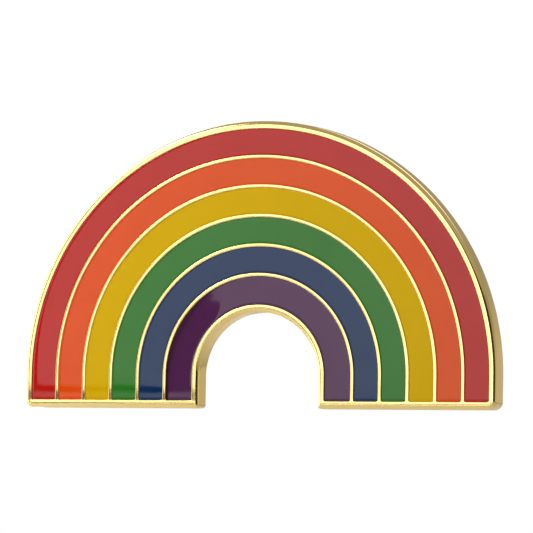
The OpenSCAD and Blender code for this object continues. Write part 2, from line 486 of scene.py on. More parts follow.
def slab(x: Array, z: Array, front: Array, back: Array, wall_rows: int) -> tuple[Array, Array]:
    """Closes two sheets over the same plan grid with a wall round their outline.

    Args:
        x: Grid of X.
        z: Grid of Z.
        front: Y of the face.
        back: Y of the back.
        wall_rows: Rows of points between the two sheets' edges.

    Returns:
        Points and faces. Point numbers run through the face, the back, then the wall's rows.
    """
    rows, columns = x.shape
    index = np.arange(rows * columns).reshape(rows, columns)
    loop = np.concatenate([index[0, :], index[1:, -1], index[-1, -2::-1], index[-2:0:-1, 0]])
    face = np.stack([x, front, z], -1).reshape(-1, 3)
    rear = np.stack([x, back, z], -1).reshape(-1, 3)
    share = np.linspace(0, 1, wall_rows + 2)[1:-1, None, None]
    wall = (face[loop] * (1 - share) + rear[loop] * share).reshape(-1, 3)
    count = rows * columns
    between = 2 * count + np.arange(wall_rows * len(loop)).reshape(wall_rows, -1)
    rings = np.vstack([loop, between, loop + count])
    around = grid_faces(len(rings), len(loop), wrap_columns=True)
    faces = np.vstack([grid_faces(rows, columns), grid_faces(rows, columns, count), rings.ravel()[around]])
    return np.vstack([face, rear, wall]), faces


@dataclass(frozen=True)
class FaceShape:
    """How the polished face departs from a plane, in millimetres and radians."""

    foot_from: float = 1.45
    foot_to: float = 0.45
    left_bend: float = 0.06
    right_bend: float = -0.006
    metal_share: float = 0.42
    wave: float = 0.0009

    def sink(self, x: Array, z: Array, end: Array, share: float = 1.0) -> Array:
        """How far the ground face lies behind its plane.

        Args:
            x: Place across the pin.
            z: Height.
            end: Height above the foot's end.
            share: How much of the feet's roll-off this surface takes.

        Returns:
            Half the bend times the squared distance below where the foot begins to roll off, level again
            along the rim, and two slow crossing sine waves.
        """
        below = np.clip(self.foot_from - np.maximum(end, self.foot_to), 0, None)
        waves = np.sin(1.9 * x + 0.7 * z + 0.4) + np.sin(2.6 * z - 1.1 * x + 2.0) + 2
        return 0.5 * share * np.where(x < 0, self.left_bend, self.right_bend) * below**2 + self.wave * waves


@dataclass(frozen=True)
class StruckPlate:
    """The struck and plated arch: its rim, five raised lines, sunk cells, wall and pebbled back."""

    opening_r: float = 3.76
    inner_corner: float = 0.2
    outer_corner: float = 0.5
    edge_r: float = 0.25
    back_edge_r: float = 0.1
    rim_w: float = 0.45
    line_w: float = 0.2
    wide_band: float = 1.66491
    band: float = 1.53504
    bands: int = 6
    cell_corner: float = 0.1
    border_w: float = 0.6
    border_lead: float = 0.04
    border_slope: float = 0.16
    field_depth: float = 0.1
    wall_rows: int = 5
    turns: int = 180
    roll_at: tuple[float, ...] = (-0.03, -0.022, -0.014, -0.006, 0.002, 0.02, 0.045)
    roll_dip: tuple[float, ...] = (0.0, 0.001, 0.004, 0.012, 0.04, 0.15, 0.3)
    shape: FaceShape = FaceShape()

    @property
    def face_y(self) -> float:
        """Y of the face, from the CAD plate.

        Returns:
            Millimetres.
        """
        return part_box("base_plate")[0].y / MM

    @property
    def plan(self) -> ArchPlan:
        """The plate's plan, placed by the CAD plate's box.

        Returns:
            The plan, its outer radius half the box's width.
        """
        low, high = (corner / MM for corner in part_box("base_plate"))
        outer = (high.x - low.x) / 2
        centre = high.z - outer
        return ArchPlan(centre, self.opening_r, outer, centre - low.z, self.inner_corner, self.outer_corner)

    def cell(self, band: int) -> ArchPlan:
        """Plan of one enamel cell.

        Args:
            band: 0 for the outermost band.

        Returns:
            The cell's plan, with tight corners.
        """
        plan = self.plan
        outer = plan.outer - self.rim_w - band * (self.band + self.line_w)
        inner = outer - (self.wide_band if band == self.bands - 1 else self.band)
        foot = plan.foot - self.rim_w
        return ArchPlan(plan.centre_z, inner, outer, foot, self.cell_corner, self.cell_corner)

    def into_cell(self, s: Array, end: Array) -> Array:
        """Distance into the nearest cell, negative on the metal.

        Args:
            s: Radius of each point.
            end: Height above the plate's foot end.

        Returns:
            The largest edge distance of the six cells.
        """
        return np.max([self.cell(b).edge_distance(s, end - self.rim_w) for b in range(self.bands)], axis=0)

    def columns(self) -> Array:
        """Radii of the grid's columns: close together where the section turns.

        Returns:
            Rising radii from the opening to the outer edge.
        """
        plan = self.plan
        steps = np.array(self.roll_at)
        lines = [plan.inner + cos_steps(self.edge_r, 8), plan.outer - cos_steps(self.edge_r, 8),
                 plan.inner + cos_steps(self.inner_corner, 6),
                 plan.outer - cos_steps(self.outer_corner, 12),
                 [plan.inner + self.border_w * 0.8, plan.outer - self.border_w * 0.8]]
        for band in range(self.bands):
            cell = self.cell(band)
            lines += [cell.inner + steps, cell.outer - steps,
                      np.linspace(cell.inner + 0.1, cell.outer - 0.1, 5)]
        radii = np.unique(np.round(np.concatenate(lines), 4))
        return radii[np.concatenate([[True], np.diff(radii) > 0.002])]

    def rows(self) -> Array:
        """Heights of the grid's foot rows.

        Returns:
            Rising heights from the foot's end to the start of the half circle.
        """
        steps = np.array(self.roll_at)
        lines = [cos_steps(self.edge_r, 8), self.rim_w + steps, cos_steps(self.outer_corner, 9),
                 np.linspace(0.55, self.plan.foot, 10)]
        ends = np.unique(np.round(np.concatenate(lines), 4))
        return ends[np.concatenate([[True], np.diff(ends) > 0.002])]

    def face(self, x: Array, z: Array, s: Array, end: Array) -> Array:
        """Y of the struck face.

        The outline falls away as a quarter circle; at a cell the metal rolls over and drops to the floor.

        Args:
            x: Grid of X.
            z: Grid of Z.
            s: Radius of each point.
            end: Height above the foot's end.

        Returns:
            Y, larger where the face is lower.
        """
        into = np.clip(self.edge_r - self.plan.edge_distance(s, end), 0, self.edge_r)
        rounding = self.edge_r - np.sqrt(np.maximum(self.edge_r**2 - into**2, 0))
        dip = np.interp(self.into_cell(s, end), self.roll_at, self.roll_dip)
        fade = smooth(self.plan.edge_distance(s, end) / self.edge_r)
        return self.face_y + rounding + dip + fade * self.shape.sink(x, z, end, self.shape.metal_share)

    def back(self, s: Array, end: Array) -> tuple[Array, Array]:
        """Y of the back and how much of the pebbled ground shows at each point.

        Args:
            s: Radius of each point.
            end: Height above the foot's end.

        Returns:
            Y, and a share that is 1 on the sunk ground and 0 on the smooth border.
        """
        away = self.plan.edge_distance(s, end)
        into = np.clip(self.back_edge_r - away, 0, self.back_edge_r)
        rounding = self.back_edge_r - np.sqrt(np.maximum(self.back_edge_r**2 - into**2, 0))
        ground = smooth((away - self.border_w + self.border_lead) / self.border_slope)
        return -rounding - self.field_depth * ground, ground

    def build(self, material: bpy.types.Material) -> bpy.types.Object:
        """Makes the plate.

        Args:
            material: The plating.

        Returns:
            The plate, riding the pin.
        """
        x, z, s, end = self.plan.grid(self.columns(), self.rows(), self.turns)
        back, ground = self.back(s, end)
        points, faces = slab(x, z, self.face(x, z, s, end), back, self.wall_rows)
        share = np.zeros(len(points))
        share[x.size : 2 * x.size] = ground.ravel()
        piece = make_piece("struck_plate", points, faces, material, attributes={"ground": share})
        return seat(piece, "pin", "base_plate")


@dataclass(frozen=True)
class EnamelBand:
    """One enamel band, ground nearly flush with the lines; sizes in millimetres."""

    band: int
    node: str
    lean: float = 0.0
    lean_below: float = 5.9
    lean_fade: float = 2.4
    lean_soft: float = 0.08
    lean_slant: float = 0.45
    drop: float = 0.03
    depth: float = 0.32
    edge_fall: float = 0.011
    edge_reach: float = 0.04
    shoulder: float = 0.0
    shoulder_widths: tuple[float, float] = (0.13, 0.34)
    shoulder_below: float = 6.0
    shoulder_fade: tuple[float, float] = (5.0, 8.0)
    shoulder_soft: float = 0.03
    corner: float = 0.11
    tuck: float = 0.012
    edge_steps: tuple[float, ...] = (0.0, 0.012, 0.03, 0.055, 0.09, 0.14, 0.22, 0.34)
    inland: float = 0.45
    turns: int = 180

    def build(self, plate: StruckPlate, material: bpy.types.Material) -> bpy.types.Object:
        """Makes the band.

        The face lies a little under the lines, falls at its edges as an exponential of the distance to
        them and follows the plate's own roll-off. A lean is a plane slope to the left, past a slanted line
        from the inner edge, that fades out towards the top of the arch.
        A shoulder is another slope down to the outer edge of the left leg, wider towards the foot; it
        starts softly, as half the sum of the distance and the root of its square plus a small square.

        Args:
            plate: The plate whose cell it fills.
            material: The enamel's finish.

        Returns:
            The band, riding the pin.
        """
        cell = plate.cell(self.band)
        plan = ArchPlan(cell.centre_z, cell.inner - self.tuck, cell.outer + self.tuck,
                        cell.foot + self.tuck, self.corner, self.corner)
        near = np.array(self.edge_steps)
        middle = np.linspace(plan.inner + self.inland, plan.outer - self.inland, 7)
        radii = np.concatenate([plan.inner + near, middle, (plan.outer - near)[::-1]])
        ends = np.concatenate([near, np.linspace(0.42, plan.foot, 12)])
        x, z, s, end = plan.grid(radii, ends, self.turns)
        away = np.maximum(plan.edge_distance(s, end) - self.tuck, 0)
        fall = self.edge_fall * np.exp(-away / self.edge_reach)
        rise = z - cell.centre_z
        past = -x - cell.inner + self.lean_slant * np.maximum(rise, 0)
        leaning = self.lean * smooth((self.lean_below - rise) / self.lean_fade)
        leaning = leaning * 0.5 * (past + np.hypot(past, self.lean_soft))
        plate_end = z - plate.plan.centre_z + plate.plan.foot
        top_width, foot_width = self.shoulder_widths
        fade_x, fade_z = self.shoulder_fade
        width = top_width + (foot_width - top_width) * smooth((self.shoulder_below - rise) / fade_z)
        inside = width - (cell.outer - s)
        rounding = self.shoulder * smooth(-x / fade_x)
        rounding = rounding * 0.5 * (inside + np.hypot(inside, self.shoulder_soft))
        front = plate.face_y + self.drop + fall + leaning + rounding + plate.shape.sink(x, z, plate_end)
        points, faces = slab(x, z, front, np.full_like(x, plate.face_y + self.depth), 1)
        return seat(make_piece(self.node, points, faces, material), "pin", self.node)


# ---------------------------------------------------------------- turned and stamped parts


@dataclass(frozen=True)
class PostFrame:
    """Place and turn of one post: local z leads off the pin, local x lies along the clutch's strip."""

    side: Side
    ring_angle: float = 52.0

    @property
    def matrix(self) -> tuple[Array, Array]:
        """Where the post stands and how it is turned, from the CAD post's box.

        Returns:
            Origin in millimetres and the three local axes as rows.
        """
        low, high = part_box(f"post_{self.side.tag}")
        turn = self.side.value * math.radians(90 - self.ring_angle)
        origin = np.array([(low.x + high.x) / 2 / MM, 0.0, (low.z + high.z) / 2 / MM])
        cos, sin = math.cos(turn), math.sin(turn)
        axes = np.array([[cos, 0, -sin], [-sin, 0, -cos], [0, 1, 0]])
        return origin, axes

    def place(self, local: Array, lift: float = 0.0) -> Array:
        """Carries local points into the part's frame.

        Args:
            local: Local points, one row each, in millimetres.
            lift: How far along the post the local origin stands.

        Returns:
            Points in the part's frame, in millimetres.
        """
        origin, axes = self.matrix
        return origin + (local + np.array([0, 0, lift])) @ axes


def turned(profile: Array, segments: int) -> tuple[Array, Array]:
    """Turns a closed half section round the local z axis.

    Each point is (radius cos a, radius sin a, height) for angle a round the axis.

    Args:
        profile: Radius and height of each point of the section, as a closed loop.
        segments: Steps round the axis.

    Returns:
        Points and faces; points on the axis still lie on top of each other and are to be welded.
    """
    angle = np.linspace(0, 2 * math.pi, segments, endpoint=False)[:, None]
    points = np.stack([np.cos(angle) * profile[:, 0], np.sin(angle) * profile[:, 0],
                       np.broadcast_to(profile[:, 1], (segments, len(profile)))], -1).reshape(-1, 3)
    return points, grid_faces(segments, len(profile), wrap_rows=True, wrap_columns=True)


def eased(corners: list[tuple[float, float, float]], steps: int = 4) -> Array:
    """Rounds the corners of a closed outline.

    Args:
        corners: Two coordinates and a radius for each corner; radius 0 keeps it sharp.
        steps: Steps of each rounding.

    Returns:
        The outline's points. A rounding is the quadratic curve whose ends lie one radius from the corner.
    """
    out, count = [], len(corners)
    for i, (x, y, radius) in enumerate(corners):
        here = np.array([x, y])
        if radius <= 0:
            out.append(here[None])
            continue
        before, after = np.array(corners[i - 1][:2]), np.array(corners[(i + 1) % count][:2])
        a = here + (before - here) / np.linalg.norm(before - here) * radius
        b = here + (after - here) / np.linalg.norm(after - here) * radius
        t = np.linspace(0, 1, steps + 1)[:, None]
        out.append((1 - t) ** 2 * a + 2 * t * (1 - t) * here + t**2 * b)
    return np.vstack(out)


@dataclass(frozen=True)
class NailPost:
    """A nail post: brazed foot, shank, two grip notches and a blunt point; sizes in millimetres."""

    radius: float = 0.55
    foot_r: float = 1.25
    foot_from: float = -0.1
    foot_top: float = 0.15
    notches: tuple[float, float] = (3.9843, 6.5)
    notch_half: float = 0.25
    notch_depth: float = 0.17
    tip_from: float = 7.1
    tip_r: float = 0.15
    top: float = 8.0
    ease: float = 0.06
    foot_ease: float = 0.05
    tip_ease: tuple[float, float] = (0.15, 0.1)

    def build(self, seat_frame: PostFrame, material: bpy.types.Material) -> bpy.types.Object:
        """Makes the post.

        Args:
            seat_frame: Where the post stands.
            material: The shank's finish.

        Returns:
            The post, riding the pin.
        """
        r, waist, tag = self.radius, self.radius - self.notch_depth, seat_frame.side.tag
        corners = [(0.0, self.foot_from, 0), (self.foot_r, self.foot_from, 0),
                   (self.foot_r, self.foot_top, self.ease), (r, self.foot_top, self.foot_ease)]
        for z in self.notches:
            wide = self.notch_half + self.notch_depth
            corners += [(r, z - wide, self.ease), (waist, z - self.notch_half, self.ease),
                        (waist, z + self.notch_half, self.ease), (r, z + wide, self.ease)]
        corners += [(r, self.tip_from, self.tip_ease[0]), (self.tip_r, self.top, self.tip_ease[1]),
                    (0.0, self.top, 0)]
        points, faces = turned(eased(corners), 56)
        piece = make_piece(f"nail_post_{tag}", seat_frame.place(points), faces, material, weld_mm=0.0004)
        return seat(piece, "pin", f"post_{tag}")


@dataclass(frozen=True)
class SolderRing:
    """The fillet of solder round a post's foot; sizes in millimetres."""

    inner: float = 1.22
    outer: float = 1.5
    low: float = -0.11
    top: float = 0.145
    lumps: float = 0.03
    hollow: float = 2.2

    def build(self, seat_frame: PostFrame, material: bpy.types.Material) -> bpy.types.Object:
        """Makes the fillet: a hollow section whose reach swells and shrinks round the foot.

        Args:
            seat_frame: Where the post stands.
            material: The solder's finish.

        Returns:
            The fillet, riding the pin.
        """
        t = np.linspace(0, 1, 9)
        curve = np.stack([self.inner + (self.outer - self.inner) * t,
                          self.top + (self.low - self.top) * (1 - (1 - t) ** self.hollow)], -1)
        points, faces = turned(np.vstack([curve, [[self.inner, self.low]]]), 72)
        angle = np.arctan2(points[:, 1], points[:, 0]) + seat_frame.side.value
        waves = np.sin(3 * angle) + 0.6 * np.sin(5 * angle + 1) + 0.4 * np.sin(8 * angle + 2)
        reach = (np.hypot(points[:, 0], points[:, 1]) - self.inner) / (self.outer - self.inner)
        points[:, :2] *= (1 + self.lumps * waves * reach)[:, None]
        tag = seat_frame.side.tag
        piece = make_piece(f"solder_fillet_{tag}", seat_frame.place(points), faces, material)
        return seat(piece, "pin", f"solder_{tag}")


@dataclass(frozen=True)
class SheetEdge:
    """Thickness of stamped sheet and the radius that tumbling leaves on its edges, in millimetres."""

    thickness: float = 0.3
    radius: float = 0.05

    @property
    def steps(self) -> Array:
        """Distances from an edge at which a grid needs points to show the rounding.

        Returns:
            Rising distances from 0 to the radius.
        """
        return np.array([0.0, 0.008, 0.022, self.radius])

    def half(self, depth: Array) -> Array:
        """Half the sheet's thickness at some distance from its edge.

        Args:
            depth: Distance into the metal.

        Returns:
            Half the thickness less the radius, plus a quarter circle's height over the radius.
        """
        into = self.radius - np.clip(depth, 0, self.radius)
        return self.thickness / 2 - self.radius + np.sqrt(np.maximum(self.radius**2 - into**2, 0))


def sheet_metal(middle: Array, normal: Array, depth: Array, faces: Array,
                edge: SheetEdge) -> tuple[Array, Array]:
    """Closes stamped sheet round its middle surface.

    Args:
        middle: Points of the middle surface, one row each.
        normal: Its unit normals.
        depth: Distance of each point into the metal.
        faces: Quads of the middle surface that are metal.
        edge: The sheet's thickness and edge radius.

    Returns:
        Points and faces: each point stands half the thickness to both sides of the middle, and every
        side that only one quad has is closed with a wall.
    """
    used, faces = np.unique(faces, return_inverse=True)
    faces = faces.reshape(-1, 4)
    middle, normal, half = middle[used], normal[used], edge.half(depth[used])[:, None]
    sides = np.stack([faces, np.roll(faces, -1, axis=1)], -1).reshape(-1, 2)
    _, first, count = np.unique(np.sort(sides, axis=1), axis=0, return_index=True, return_counts=True)
    rim = sides[first[count == 1]]
    wall = np.stack([rim[:, 0], rim[:, 1], rim[:, 1] + len(used), rim[:, 0] + len(used)], -1)
    points = np.vstack([middle + normal * half, middle - normal * half])
    return points, np.vstack([faces, faces + len(used), wall])


@dataclass(frozen=True)
class Cut:
    """A rectangular opening in a wing: two places along the strip, inside or outside a half width."""

    start: float
    stop: float
    half: float
    outside: bool = False

    def clear(self, x: Array, v: Array, slope: float) -> Array:
        """Distance from the opening, negative inside it.

        Args:
            x: Place along the strip.
            v: Place across it.
            slope: Cosine of the sheet's slope, which lengthens distances along the strip.

        Returns:
            The larger of the distances along and across the strip.
        """
        along = (np.abs(x - (self.start + self.stop) / 2) - (self.stop - self.start) / 2) / slope
        across = self.half - np.abs(v) if self.outside else np.abs(v) - self.half
        return np.maximum(along, across)


@dataclass(frozen=True)
class WingSheet:
    """Shape of one sprung wing: bend, straight arm, flared tab and openings; millimetres and degrees."""

    bend_x: float = 2.8949
    bend_z: float = 1.3
    bend_r: float = 0.85
    slope: float = 12.0
    arm_reach: float = 1.877
    flare_r: float = 3.0
    flare_end: float = 60.0
    tab_l: float = 0.6
    strip_half: float = 2.1
    tab_half: float = 2.7
    tab_corner: float = 2.0
    least_step: float = 0.004
    edge: SheetEdge = SheetEdge()

    @property
    def lengths(self) -> tuple[float, float, float, float]:
        """Lengths of the wing's four stretches along the middle of the sheet.

        Returns:
            Bend, arm, flare and tab, in millimetres.
        """
        lean = math.radians(self.slope)
        arm = (self.bend_x + self.bend_r * math.sin(lean) + self.arm_reach) / math.cos(lean)
        return (self.bend_r * math.radians(180 - self.slope), arm,
                self.flare_r * math.radians(self.flare_end - self.slope), self.tab_l)

    def path(self, u: Array) -> tuple[Array, Array, Array]:
        """Follows the middle of the sheet, seen from its edge.

        Args:
            u: Distance along the sheet from where it leaves the flat strip.

        Returns:
            X, height and the angle of the normal: an arc round the bend's centre, a straight line, an
            arc the other way and a straight line.
        """
        bend, arm, flare, tab = self.lengths
        lean, end = math.radians(self.slope), math.radians(self.flare_end)
        turn = np.clip(u, 0, bend) / self.bend_r - math.pi / 2
        straight = np.clip(u - bend, 0, arm)
        rise = lean + np.clip(u - bend - arm, 0, flare) / self.flare_r
        last = np.clip(u - bend - arm - flare, 0, tab)
        x = (self.bend_x + self.bend_r * np.cos(turn) - straight * math.cos(lean)
             - self.flare_r * (np.sin(rise) - math.sin(lean)) - last * math.cos(end))
        z = (self.bend_z + self.bend_r * np.sin(turn) + straight * math.sin(lean)
             + self.flare_r * (math.cos(lean) - np.cos(rise)) + last * math.sin(end))
        return x, z, turn - (rise - lean)

    def into_metal(self, place: list[Array], cuts: tuple[tuple[Cut, Cut | None], ...]) -> Array:
        """Distance into the metal: the least of those from the outline and from each opening.

        Args:
            place: Place along the strip, distance along the sheet, place across it, the tab's half width
                there and how steeply that changes.
            cuts: Openings, each with the part of it that stays metal, if any.

        Returns:
            The distance in millimetres, negative outside the metal.
        """
        x, u, v, width, steep = place
        bend, arm, flare, tab = self.lengths
        depth = np.minimum(np.maximum(u - bend - arm, self.strip_half - np.abs(v)),
                           (width - np.abs(v)) / np.sqrt(1 + steep**2))
        depth = np.minimum(depth, bend + arm + flare + tab - u)
        slope = math.cos(math.radians(self.slope))
        for cut, kept in cuts:
            clear = np.where(u > bend, cut.clear(x, v, slope), 1.0)
            if kept:
                clear = np.maximum(clear, -kept.clear(x, v, slope))
            depth = np.minimum(depth, clear)
        return depth

    def build(self, *cuts: tuple[Cut, Cut | None]) -> tuple[Array, Array]:
        """Makes the wing in its clutch's frame, rooted at +x.

        Args:
            cuts: Openings, each with the part of it that stays metal, if any.

        Returns:
            Points and faces of the closed sheet. Across the tab the grid narrows with the tab's round
            corners: the half width is that of a circle whose radius is the corner's.
        """
        bend, arm, flare, tab = self.lengths
        edge_steps = np.concatenate([-self.edge.steps, self.edge.steps])
        arm_x = self.path(np.array([bend]))[0][0]
        places = [p for cut in cuts for c in cut if c for p in (c.start, c.stop)]
        stops = [bend + (arm_x - p) / math.cos(math.radians(self.slope))
                 for p in places if p > -self.arm_reach]
        breaks = np.array(stops + [bend + arm])
        u = np.concatenate([np.linspace(0, bend, 31), np.linspace(bend, bend + arm, 23),
                            (breaks[:, None] + edge_steps).ravel(),
                            bend + arm + np.linspace(0, flare + tab, 29),
                            bend + arm + flare + tab - self.edge.steps])
        halves = np.array([c.half for cut in cuts for c in cut if c] + [self.strip_half])
        v = np.concatenate([np.linspace(0, self.tab_half, 14), (halves[:, None] + edge_steps).ravel(),
                            self.tab_half - self.edge.steps])
        u, v = (np.unique(np.round(t, 4)) for t in (u[u >= 0], v))
        u, v = (t[np.concatenate([[True], np.diff(t) > self.least_step])] for t in (u, v))
        v = np.concatenate([-v[:0:-1], v])
        x, z, turn = self.path(u)
        tip = self.path(np.array([bend + arm + flare + tab]))[0][0] - self.edge.thickness / 2
        near = np.clip(self.tab_corner - (x - tip), 0, self.tab_corner)
        width = self.tab_half - self.tab_corner + np.sqrt(self.tab_corner**2 - near**2)
        steep = np.abs(np.gradient(width, u))
        grid_v = v[None, :] * (width / self.tab_half)[:, None]
        grid_x, grid_u, grid_width, grid_steep, grid_z, out, up = (
            t[:, None] + 0 * grid_v for t in (x, u, width, steep, z, np.cos(turn), np.sin(turn)))
        grid = [grid_x, grid_u, grid_v, grid_width, grid_steep]
        faces = grid_faces(len(u), len(v))
        metal = self.into_metal([t.ravel()[faces].mean(axis=1) for t in grid], cuts) > 0
        points = np.stack([grid_x, grid_v, grid_z], -1).reshape(-1, 3)
        normal = np.stack([out, 0 * grid_v, up], -1).reshape(-1, 3)
        depth = self.into_metal(grid, cuts).ravel()
        return sheet_metal(points, normal, depth, faces[metal], self.edge)


@dataclass(frozen=True)
class Clutch:
    """A butterfly clutch: eyelet, rolled disc, spring strip and two wings; sizes in millimetres."""

    at: PostFrame
    material: bpy.types.Material
    lift: float = 1.2
    sheet: float = 0.3
    disc_r: float = 5.0
    roll_r: float = 0.35
    roll_end: float = 150.0
    hole_r: float = 1.45
    nib_ring: float = 3.3
    nib_r: float = 0.45
    nib_height: float = 0.17
    nib_soft: float = 0.0012
    nib_fade: float = 0.08
    flat: tuple[float, float] = (1.7, 4.5)
    bore_r: float = 1.2
    barrel_r: float = 1.42
    flange_r: float = 2.05
    flange_t: float = 0.16
    flange_ease: float = 0.06
    bore_ease: float = 0.1
    barrel_ease: float = 0.03
    gap: float = 0.03
    ring_clear: float = 0.12
    wing: WingSheet = WingSheet()
    window: Cut = Cut(-1.677, 1.427, 1.25)
    tongue: Cut = Cut(0.6, 1.6, 0.45)
    slot_cut: Cut = Cut(-1.577, 0.6, 0.62)
    neck: Cut = Cut(-1.727, 1.727, 1.0, outside=True)

    def eyelet(self) -> bpy.types.Object:
        """Makes the hollow eyelet, with its two flanges rolled outward.

        Returns:
            The eyelet, riding its own body.
        """
        low, top = -self.gap - self.flange_t, 2 * self.sheet + self.gap + self.flange_t
        half = [(self.bore_r, 0, self.bore_ease), (self.flange_r, 0, self.flange_ease),
                (self.flange_r, self.flange_t, self.flange_ease),
                (self.barrel_r, self.flange_t, self.barrel_ease)]
        corners = [(r, low + z, e) for r, z, e in half] + [(r, top - z, e) for r, z, e in half[::-1]]
        points, faces = turned(eased(corners), 72)
        tag = self.at.side.tag
        piece = make_piece(f"rolled_eyelet_{tag}", self.at.place(points, self.lift), faces, self.material)
        return seat(piece, f"eyelet_{tag}", f"eyelet_{tag}")

    def disc(self) -> bpy.types.Object:
        """Makes the disc with its rolled rim and four nibs.

        The section runs along the sheet's cloth side, round the outside of the roll, back along its inside
        and home; a nib pushes both sides down by the height of a sphere's cap over the plane.

        Returns:
            The disc, riding the clutch.
        """
        roll_x = self.disc_r - self.roll_r
        turn = np.radians(np.linspace(-90, self.roll_end, 26))
        hub = [[self.hole_r, 0.05], [self.hole_r + 0.02, 0.015], [self.hole_r + 0.06, 0.0]]
        nib = np.linspace(self.nib_ring - self.nib_r, self.nib_ring + self.nib_r, 22)
        flat = np.unique(np.concatenate([np.linspace(*self.flat, 20), nib]))
        outside, inside = (np.stack([roll_x + r * np.cos(t), self.roll_r + r * np.sin(t)], -1)
                           for r, t in ((self.roll_r, turn), (self.roll_r - self.sheet, turn[::-1])))
        section = np.vstack([hub, np.stack([flat, 0 * flat], -1), outside, inside,
                             np.stack([flat[::-1], 0 * flat + self.sheet], -1),
                             [[self.hole_r + 0.05, self.sheet], [self.hole_r, self.sheet - 0.05]]])
        points, faces = turned(section, 224)
        at = np.radians([45, 135, 225, 315])
        spots = self.nib_ring * np.stack([np.cos(at), np.sin(at)], -1)
        near = np.min(np.hypot(points[:, None, 0] - spots[:, 0], points[:, None, 1] - spots[:, 1]), axis=1)
        cap = np.sqrt(np.maximum(self.nib_r**2 - near**2, 0)) - (self.nib_r - self.nib_height)
        push = np.where(near < self.nib_r, 0.5 * (cap + np.sqrt(cap**2 + self.nib_soft)), 0)
        points[:, 2] -= push * smooth((self.nib_r - near) / self.nib_fade)
        tag = self.at.side.tag
        piece = make_piece(f"rolled_disc_{tag}", self.at.place(points, self.lift), faces, self.material)
        return seat(piece, f"clutch_{tag}", f"disc_{tag}")

    def strip(self) -> bpy.types.Object:
        """Makes the spring's flat middle, which the eyelet grips.

        Returns:
            The strip, riding the clutch: rays from the hole's edge to the strip's outline.
        """
        wing, edge = self.wing, self.wing.edge
        corner = math.atan2(wing.strip_half, wing.bend_x)
        stops = [-corner, corner, math.pi - corner, math.pi + corner, 2 * math.pi - corner]
        angle = np.concatenate([np.linspace(a, b, 28, endpoint=False) for a, b in zip(stops, stops[1:])])
        angle = angle[:, None]
        cos, sin = np.cos(angle), np.sin(angle)
        far = np.minimum(wing.bend_x / np.maximum(np.abs(cos), TINY),
                         wing.strip_half / np.maximum(np.abs(sin), TINY))
        inner = self.hole_r + edge.steps
        share = np.linspace(0.12, 1, 7)[None, :-1]  # six rings from near the hole to near the outline
        outer = far - edge.steps[::-1] * far / wing.strip_half
        rings = inner[-1] + share * (far - inner[-1] - self.ring_clear)
        reach = np.hstack([inner + 0 * far, rings, outer])
        points = np.stack([reach * cos, reach * sin, 0 * reach + 1.5 * self.sheet], -1).reshape(-1, 3)
        depth = np.minimum(reach - self.hole_r, wing.strip_half - np.abs(reach * sin)).ravel()
        normal = np.tile([0.0, 0.0, 1.0], (len(points), 1))
        faces = grid_faces(len(angle), reach.shape[1], wrap_rows=True)
        points, faces = sheet_metal(points, normal, depth, faces, edge)
        tag = self.at.side.tag
        piece = make_piece(f"spring_strip_{tag}", self.at.place(points, self.lift), faces, self.material)
        piece.data.set_sharp_from_angle(angle=SHEET_CREASE)
        return seat(piece, f"clutch_{tag}", f"clip_{tag}")

    def spring_wing(self, which: Wing) -> bpy.types.Object:
        """Makes a wing with its bend.

        Args:
            which: The outer wing, with the window, or the inner one, with the slot and the neck.

        Returns:
            The wing, in the part's frame; its CAD node is hidden.
        """
        wing, tag, letter = self.wing, self.at.side.tag, which.value
        if which is Wing.OUTER:
            cuts, turned_round = [(self.window, self.tongue)], 1.0
        else:
            cuts, turned_round = [(self.slot_cut, None), (self.neck, None)], -1.0
        points, faces = wing.build(*cuts)
        points = points * np.array([turned_round, 1.0, 1.0])
        points = self.at.place(points, self.lift)
        piece = make_piece(f"spring_wing_{tag}_{letter}", points, faces, self.material)
        piece.data.set_sharp_from_angle(angle=SHEET_CREASE)
        x, top = turned_round * wing.bend_x, wing.bend_z + wing.bend_r * math.cos(math.radians(wing.slope))
        ends = np.array([[x, 0, 2 * self.sheet], [x, 0, top - self.sheet / 2]])
        ends = self.at.place(ends, self.lift) * MM
        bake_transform(piece)
        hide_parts(f"wing_{tag}_{letter}")
        LOG.info("%s flexes from clutch_%s to wing_%s_%s", piece.name, tag, tag, letter)
        return piece

    def build(self) -> None:
        """Makes the whole clutch."""
        self.eyelet()
        self.disc()
        self.strip()
        for which in Wing:
            self.spring_wing(which)


# ---------------------------------------------------------------- stage, light and camera


@dataclass(frozen=True)
class SoftCard:
    """A lit diffuser: part of a sphere round the pin, in degrees, metres and plain brightness."""

    name: str
    azimuth: tuple[float, float]
    height: tuple[float, float]
    away: float
    level: tuple[float, float]
    rows: int = 25
    columns: int = 9

    def build(self) -> None:
        """Makes the card, which mirrors can see and the camera can't.

        A point is away times (sin a cos h, -cos a cos h, sin h) for azimuth a and height h.
        """
        material, tree = blank_material("lit_" + self.name)
        across = add_node(tree, "Attribute", {"attribute_name": "across"}).outputs["Fac"]
        glow = add_node(tree, "Emission", {"Color": linear("FFFFFF")},
                        {"Strength": remap(tree, across, (0.0, 1.0), self.level)})
        add_node(tree, "OutputMaterial", {}, {"Surface": glow.outputs[0]})
        a = np.radians(np.linspace(*self.azimuth, self.rows))[:, None]
        h = np.radians(np.linspace(*self.height, self.columns))[None, :]
        way = np.stack([np.sin(a) * np.cos(h), -np.cos(a) * np.cos(h), np.sin(h) + 0 * a], -1)
        share = np.repeat(np.linspace(0, 1, self.rows), self.columns)
        piece = make_piece(self.name, self.away / MM * way.reshape(-1, 3),
                           grid_faces(self.rows, self.columns), material, attributes={"across": share})
        piece.visible_camera = False


